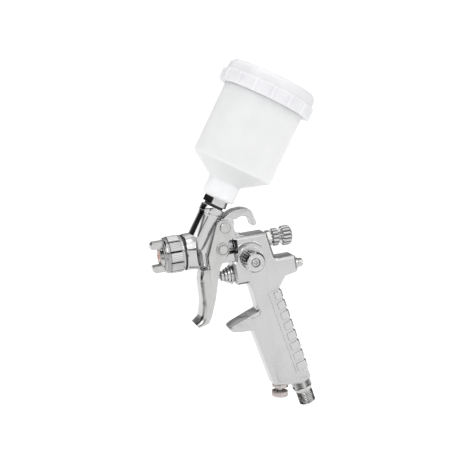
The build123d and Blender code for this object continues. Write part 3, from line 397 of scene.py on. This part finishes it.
tree, bsdf = finish("cup_plastic", (0.88, 0.885, 0.895), 0.34, 0.0)
milky(bsdf, 0.12, 1.35, 0.8)
vary(tree, grain(tree, 60), bsdf, "Base Color", (0.865, 0.87, 0.88), (0.895, 0.90, 0.91))
vary(tree, grain(tree, 250), bsdf, "Roughness", 0.3, 0.4)
relief(tree, bsdf, grain(tree, 900, 2), 0.006)
tree, bsdf = finish("lid_plastic", (0.75, 0.75, 0.77), 0.4, 0.0)
milky(bsdf, 0.08, 1.38, 0.6)
vary(tree, grain(tree, 80), bsdf, "Base Color", (0.73, 0.73, 0.75), (0.77, 0.77, 0.79))
vary(tree, grain(tree, 300), bsdf, "Roughness", 0.34, 0.46)
relief(tree, bsdf, grain(tree, 1100, 2), 0.008)

# %% Paint every CAD node
slot_of = {part["node"]: part["material_slot"] for part in frame["record"]["subparts"]}
for name, node in frame["nodes"].items():
    node.data.materials.clear()
    node.data.materials.append(finishes[slot_of[name]])
print("painted", len(frame["nodes"]), "nodes with", len(finishes), "finishes")


# %% [markdown]
# ## Grids and lathes
# Every new piece is a grid of points bent into shape.  A turned piece is a profile, radius against
# height, carried round its line, and knurls or threads are a second function of angle and height that is
# added to the radius.  Whole arrays are worked out at once, so a thread costs one line.

# %% Surfaces
SMOOTH_ANGLE = math.radians(32)


def piece(name, mesh, node):
    """Mesh object that stands for a CAD node: same body, same finish."""
    thing = bpy.data.objects.new(name, mesh)
    bpy.context.scene.collection.objects.link(thing)
    mesh.materials.clear()
    mesh.materials.append(finishes[slot_of[node]])
    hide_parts(node)
    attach(thing, body_of_node[node])
    print(f"{name}: {len(mesh.vertices)} points, {len(mesh.polygons)} faces")
    return thing


def surface(name, points, close_rows=False, close_columns=False, groove=None):
    """Mesh of a (rows, columns, 3) grid; UV runs 0 to 1 both ways; equal points are merged.

    groove, 0 to 1 at each point, is kept as an attribute that the finishes read."""
    rows, columns = points.shape[:2]
    row = np.arange(rows if close_rows else rows - 1)
    column = np.arange(columns if close_columns else columns - 1)
    i, j = (index.ravel() for index in np.meshgrid(row, column, indexing="ij"))
    corners = np.stack(((i, j), (i, j + 1), (i + 1, j + 1), (i + 1, j)), axis=1)
    faces = (corners[0] % rows * columns + corners[1] % columns).T
    mesh = bpy.data.meshes.new(name)
    mesh.from_pydata(points.reshape(-1, 3).tolist(), [], faces.tolist())
    chart = mesh.uv_layers.new(name="along").data
    chart.foreach_set("uv", np.stack((corners[0] / rows, corners[1] / columns), axis=-1).transpose(1, 0, 2).ravel())
    if groove is not None:
        mesh.attributes.new("groove", "FLOAT", "POINT").data.foreach_set("value", groove.ravel())
    work = bmesh.new()
    work.from_mesh(mesh)
    bmesh.ops.remove_doubles(work, verts=work.verts, dist=2e-6)
    bmesh.ops.recalc_face_normals(work, faces=work.faces)
    work.to_mesh(mesh)
    work.free()
    mesh.polygons.foreach_set("use_smooth", np.ones(len(mesh.polygons), bool))
    mesh.set_sharp_from_angle(angle=SMOOTH_ANGLE)
    return mesh


def outline(corners, step=1.0, closed=True):
    """Profile through (radius, height, rounding) corners in mm: arcs at the corners and even steps between."""
    where = np.array([corner[:2] for corner in corners], float)
    count = len(where)
    pieces = []
    for index, (spot, rounding) in enumerate(zip(where, (corner[2] for corner in corners))):
        inner = closed or 0 < index < count - 1
        before, after = where[index - 1] - spot, where[(index + 1) % count] - spot
        if not inner or rounding == 0:
            pieces.append(spot[None])
            continue
        a, b = before / np.linalg.norm(before), after / np.linalg.norm(after)
        half = math.acos(np.clip(a @ b, -1, 1)) / 2
        cut = min(rounding / math.tan(half), 0.49 * np.linalg.norm(before), 0.49 * np.linalg.norm(after))
        t = np.linspace(0, 1, 6)[:, None]
        weight = 1 / math.sin(half)
        bend = (1 - t) ** 2 * (spot + a * cut) + 2 * t * (1 - t) * spot / weight + t ** 2 * (spot + b * cut)
        pieces.append(bend / ((1 - t) ** 2 + 2 * t * (1 - t) / weight + t ** 2))
    ring = np.concatenate(pieces)
    ends = np.roll(ring, -1, axis=0) if closed else ring[1:]
    runs = []
    for start, end in zip(ring, ends):
        cuts = max(1, math.ceil(np.linalg.norm(end - start) / step))
        runs.append(start + (end - start) * np.linspace(0, 1, cuts, endpoint=False)[:, None])
    return np.concatenate(runs + ([] if closed else [ring[-1:]]))


def lathe(name, line, profile, count=96, pattern=None, closed=True, top=0.0, depth=None):
    """Turns a profile round a line; pattern(angle, height, radius) in mm is added to the radius.

    Where the pattern is lower than top, the groove attribute rises to 1 at depth below it."""
    angle, radius = np.meshgrid(np.linspace(0, 2 * math.pi, count, endpoint=False), profile[:, 0], indexing="ij")
    height = np.broadcast_to(profile[:, 1], radius.shape)
    groove = None
    if pattern:
        offset = pattern(angle, height, radius)
        if depth:
            groove = np.clip((top - offset) / depth, 0, 1) * (offset != 0)
        radius = np.maximum(radius + offset, 0)
    return surface(name, line.place(radius * MM, angle, height * MM), True, closed, groove)


def bell(x, middle, width):
    """Smooth step up and down: 1 within width of middle, 0 outside, with soft shoulders."""
    return np.clip((width - np.abs(x - middle)) / (0.25 * width) + 0.5, 0, 1)


print("surface tools ready")


# %% [markdown]
# ## The cup and its lid
# The cup is blown from milky nylon: a wide cylinder, a steep shoulder and a narrow neck, all with soft
# corners.  The lid screws over the rim, and has a ribbed band to grip and a stepped crown.

# %% Cup
CUP_WALL = 1.5
NECK_RADIUS, OUTLET_RADIUS, FUNNEL_RADIUS = 12.6, 7.0, 9.4
NECK_TO_RIM, SHOULDER_TO_RIM = 81.0, 68.5
low, high, wide = CUP.measure("cup")
floor_at, shoulder = high - NECK_TO_RIM, high - SHOULDER_TO_RIM
inner = wide - CUP_WALL
profile = outline([(OUTLET_RADIUS, low, 0), (NECK_RADIUS, low, 1.6), (NECK_RADIUS, floor_at, 2.0),
                   (wide, shoulder, 2.2), (wide, high, 0.6), (inner, high, 0.6), (inner, shoulder + 0.8, 2.5),
                   (FUNNEL_RADIUS, floor_at + 0.4, 2), (OUTLET_RADIUS, floor_at, 0)], step=2.0)
piece("milky_cup", lathe("milky_cup", CUP, profile, 160), "cup")

# %% Lid
LID_RIBS, RIB_OUT = 16, 1.1
BAND = 9.4
ROOF_DROP, VENT_RADIUS, LID_PLAY = 3.3, 3.6, 0.3
low, high, wide = CUP.measure("lid")
side = wide - RIB_OUT
bore = CUP.measure("cup")[2] + LID_PLAY
roof = high - ROOF_DROP
profile = outline([(bore, low, 0.3), (side, low, 0.5), (side, low + BAND, 0.7), (side - 1.3, low + BAND + 1.0, 1.0),
                   (side - 1.8, high - 2.6, 1.2), (side - 4.4, high, 2.0), (side - 7, high - 0.1, 1),
                   (side - 8, high - 0.9, 1), (VENT_RADIUS, high - 0.9, 0.6), (VENT_RADIUS, roof, 0),
                   (bore, roof, 0.8)], step=0.8)


def lid_ribs(angle, height, radius):
    """Ribs stand out from the band all round and fade at its top."""
    round_it = np.abs((angle * LID_RIBS / (2 * math.pi)) % 1 - 0.5) * 2
    rib = np.clip((0.17 - round_it) / 0.08, 0, 1)
    band = np.clip((low + BAND - height) / 0.8, 0, 1) * (radius > side - 1)
    return RIB_OUT * rib * band


piece("screw_lid", lathe("screw_lid", CUP, profile, 320, lid_ribs), "lid")


# %% [markdown]
# ## Turned fittings
# The retaining ring is gripped by pads of fine ribs, the fluid knob is scalloped, the fan knob is
# knurled and the air inlet is threaded.  Each is its profile plus one pattern.

# %% Retaining ring
RING = Line(HEAD, (1, 0, 0))
front, rear, wide = RING.measure("retaining_ring")
RING_PADS, PAD_RIBS = 10, 5
PAD_SPAN, PAD_SHARE = 0.43, 0.86       # half width and whole width of a pad's ribs, as shares of a pad's turn
rim = wide - 0.45
hole = RING.measure("air_cap")[2] + 0.06
mouth = 12.1
profile = outline([(mouth, front, 0.3), (rim - 0.5, front, 0.7), (rim, front + 1.2, 0.4), (rim, rear - 0.4, 0.4),
                   (hole, rear, 0), (hole, front + 1.9, 0), (mouth, front + 1.9, 0)], step=0.45)
pad_middle, pad_half = (front + rear) / 2 + 0.4, 4.6


def ring_pads(angle, height, radius):
    """Raised pads; on each, fine ribs; hollows between the pads and one groove in front of them."""
    turn_part = (angle * RING_PADS / (2 * math.pi)) % 1
    pad = bell(turn_part, 0.5, PAD_SPAN)
    rib = 0.5 + 0.5 * np.cos(2 * math.pi * PAD_RIBS * (turn_part - 0.5) / PAD_SHARE + math.pi)
    along = bell(height, pad_middle, pad_half)
    groove = np.exp(-((height - front - 3.0) / 0.3) ** 2)
    raised = pad * along * (0.05 + 0.4 * rib ** 0.7)
    return (raised - 0.4 * groove - 0.75 * (1 - pad) * along) * (radius > rim - 0.9)


piece("ribbed_ring", lathe("ribbed_ring", RING, profile, 600, ring_pads, top=0.3, depth=0.8), "retaining_ring")

# %% Fluid knob and its lock ring
KNOB_HOLLOWS, RING_HOLLOWS, LOCK_BORE = 14, 12, 4.65
front, rear, wide = BARREL.measure("fluid_knob")
stem = 3.0
profile = outline([(0, front, 0), (stem, front, 0.3), (stem, 0, 0.3), (wide - 1.2, 0, 0.6), (wide, 1.2, 0.5),
                   (wide, rear - 1.6, 0.9), (wide - 1.9, rear, 0.8), (0, rear, 0)], step=0.5, closed=False)


def scallops(count, depth, edge):
    """Finger hollows: a power of a cosine leaves wide lands between them."""
    def pattern(angle, height, radius):
        hollow = (0.5 + 0.5 * np.cos(count * angle)) ** 1.5
        return -depth * hollow * np.clip((radius - edge) / 0.8, 0, 1)
    return pattern


piece("scalloped_knob", lathe("scalloped_knob", BARREL, profile, 280, scallops(KNOB_HOLLOWS, 1.0, wide - 1.4),
                              closed=False, depth=1.2), "fluid_knob")
front, rear, wide = BARREL.measure("fluid_lock_ring")
profile = outline([(LOCK_BORE, front, 0.3), (wide, front, 0.7), (wide, rear, 0.7), (LOCK_BORE, rear, 0.3)],
                  step=0.5)
piece("lock_ring", lathe("lock_ring", BARREL, profile, 240, scallops(RING_HOLLOWS, 0.9, wide - 1.2), depth=1.1),
      "fluid_lock_ring")

# %% Fan knob
FAN_TEETH, SLOT_DEPTH, FAN_BORE = 24, 1.1, 2.45
base, face, wide = FAN.measure("fan_knob")
profile = outline([(FAN_BORE, base, 0), (wide - 0.5, base, 0.4), (wide, base + 0.8, 0.4), (wide, face - 2.0, 0.4),
                   (wide - 1.0, face - 0.7, 0.5), (wide - 1.3, face, 0.4), (5.6, face, 0.2), (5.4, face - 0.25, 0.1),
                   (5.1, face, 0.2), (3.5, face, 0.3), (3.4, face - 1.8, 0), (FAN_BORE, face - 1.8, 0)], step=0.4)


def knurl(angle, height, radius):
    """Straight coarse knurl on the rim, fading at its ends."""
    ends = np.clip((face - 2.0 - height) / 0.6, 0, 1) * np.clip((height - base) / 0.9, 0, 1)
    slot = np.clip(0.5 + 1.6 * np.cos(FAN_TEETH * angle), 0, 1)
    return -SLOT_DEPTH * slot * ends * (radius > wide - 0.3)


piece("knurled_fan_knob", lathe("knurled_fan_knob", FAN, profile, 360, knurl, depth=0.9), "fan_knob")

# %% Air inlet
THREAD_PITCH = 1.337
THREAD_DEPTH = 0.75
INLET_FLATS, HEX_CORNER, INLET_BORE, SHANK_RADIUS = 7.0, 7.9, 3.5, 5.5
HEX_TOP, HEX_BOTTOM = -9.6, -4.2       # along the inlet's line, which starts at the thread
low, high, wide = INLET.measure("air_inlet")
thread_r = mounts["air_inlet"]["dims"]["r_mm"]
profile = outline([(INLET_BORE, low, 0), (SHANK_RADIUS, low, 0), (SHANK_RADIUS, HEX_TOP, 0),
                   (HEX_CORNER, HEX_TOP, 0.3), (HEX_CORNER, HEX_BOTTOM, 0.4), (7.2, -3.6, 0.3), (7.5, -3.2, 0.3),
                   (7.5, -2.6, 0.6), (6.2, -0.2, 0.3), (thread_r - 0.7, 0.2, 0), (thread_r, 0.8, 0),
                   (thread_r, high - 0.9, 0), (thread_r - 0.9, high, 0.2), (4.3, high, 0.3),
                   (INLET_BORE, high - 1.5, 0)], step=0.22)


def inlet_shape(angle, height, radius):
    """Six flats above and a V thread below: depth follows a triangle wave of height / pitch - turns."""
    across = np.cos((angle + math.pi / 6) % (math.pi / 3) - math.pi / 6)
    flat = np.minimum(INLET_FLATS / across, HEX_CORNER) - HEX_CORNER
    is_hex = (radius > HEX_CORNER - 0.05) & (height < HEX_BOTTOM + 0.3)
    wave = np.abs(((height / THREAD_PITCH - angle / (2 * math.pi)) % 1) - 0.5) * 2
    is_thread = (radius > thread_r - 0.05) & (height > 0.7) & (height < high - 0.5)
    return flat * is_hex - THREAD_DEPTH * wave * is_thread


piece("threaded_inlet", lathe("threaded_inlet", INLET, profile, 192, inlet_shape, depth=1.1), "air_inlet")

# %% [markdown]
# ## Soft corners on machined and cast pieces
# No real edge is perfectly sharp.  A copy of the CAD mesh is welded, its flat faces are cleaned, and a
# narrow bevel catches the light along every edge, which is what makes metal read as metal.


# %% Softened copies
BEVEL_STEPS = 2
BEVEL_ANGLE = math.radians(28)


def softened(name, node, width_mm):
    """Welded copy of a CAD node with a bevel of width_mm along its edges."""
    mesh = frame["nodes"][node].data.copy()
    mesh.name = name
    work = bmesh.new()
    work.from_mesh(mesh)
    bmesh.ops.remove_doubles(work, verts=work.verts, dist=1e-6)
    bmesh.ops.dissolve_limit(work, angle_limit=math.radians(0.4), verts=work.verts, edges=work.edges)
    work.to_mesh(mesh)
    work.free()
    mesh.polygons.foreach_set("use_smooth", np.ones(len(mesh.polygons), bool))
    thing = piece(name, mesh, node)
    bevel = thing.modifiers.new("edge", "BEVEL")
    bevel.width = width_mm * MM
    bevel.segments = BEVEL_STEPS
    bevel.limit_method = "ANGLE"
    bevel.angle_limit = BEVEL_ANGLE
    bevel.miter_outer = "MITER_ARC"
    bevel.harden_normals = True
    return thing


cast_body = softened("cast_body", "gun_body", 0.35)

# %% Buffed head and spout
# The casting is blasted all over, then the head, the spout and the pads on the grip are buffed before it
# is plated.
HEAD_LENGTH, HEAD_RADIUS, SPOUT_RADIUS = 16.6, 14.1, 9.2
GRIP_TOP = (70.2, -38.5)                 # top of the grip's back edge, from the head
GRIP_LEAN = math.radians(13.5)
GRIP_HALF = 8.8
PADS_FROM, PADS_TO = 1.5, 71             # down the grip's back edge
PAD_REACH, PAD_PROUD = 12, 0.1           # how far the pads go forward, and how far they stand out at the side
BACK_PROUD = 0.15
cast_body.data.materials.append(finishes["polished_chrome"])
centres = np.empty(len(cast_body.data.polygons) * 3)
cast_body.data.polygons.foreach_get("center", centres)
centres = centres.reshape(-1, 3)


def off_line(points, line):
    """Distance of points from a line, in mm."""
    away = points - line.foot
    return np.linalg.norm(away - np.outer(away @ line.w, line.w), axis=1) / MM


on_head = ((centres[:, 0] - HEAD[0]) / MM < HEAD_LENGTH) & (off_line(centres, RING) < HEAD_RADIUS)
on_spout = (off_line(centres, CUP) < SPOUT_RADIUS) & (centres[:, 2] > HEAD[2] + 5 * MM)
grip = Line(HEAD + np.array((GRIP_TOP[0], 0, GRIP_TOP[1])) * MM, (math.sin(GRIP_LEAN), 0, -math.cos(GRIP_LEAN)))
from_back = (centres - grip.foot) @ np.array((math.cos(GRIP_LEAN), 0, math.sin(GRIP_LEAN))) / MM
down = (centres - grip.foot) @ grip.w / MM
on_side = (abs(centres[:, 1]) / MM > GRIP_HALF + PAD_PROUD) & (from_back > -PAD_REACH)
on_pads = (down > PADS_FROM) & (down < PADS_TO) & ((from_back > BACK_PROUD) | on_side)
buffed = on_head | on_spout | on_pads
cast_body.data.polygons.foreach_set("material_index", buffed.astype(np.int32))
print("buffed faces:", int(buffed.sum()))

# %% Softened fittings
for name, node, width_mm in (
        ("pull_trigger", "trigger", 0.4), ("horned_cap", "air_cap", 0.25),
        ("spout_collar", "inlet_collar", 0.3), ("connector_nut", "cup_connector", 0.3),
        ("pivot_screw", "trigger_pivot", 0.25), ("pivot_locknut", "pivot_nut", 0.25),
        ("washers", "pin_washers", 0.15), ("valve_gland", "air_valve_nut", 0.25),
        ("valve_plug", "air_valve_plug", 0.25), ("fluid_gland", "fluid_bush", 0.25),
        ("regulator_gland", "regulator_bush", 0.25), ("regulator_wheel", "regulator_knob", 0.12),
        ("fan_gland", "fan_bush", 0.2), ("cross_screw", "fan_knob_screw", 0.12)):
    softened(name, node, width_mm)
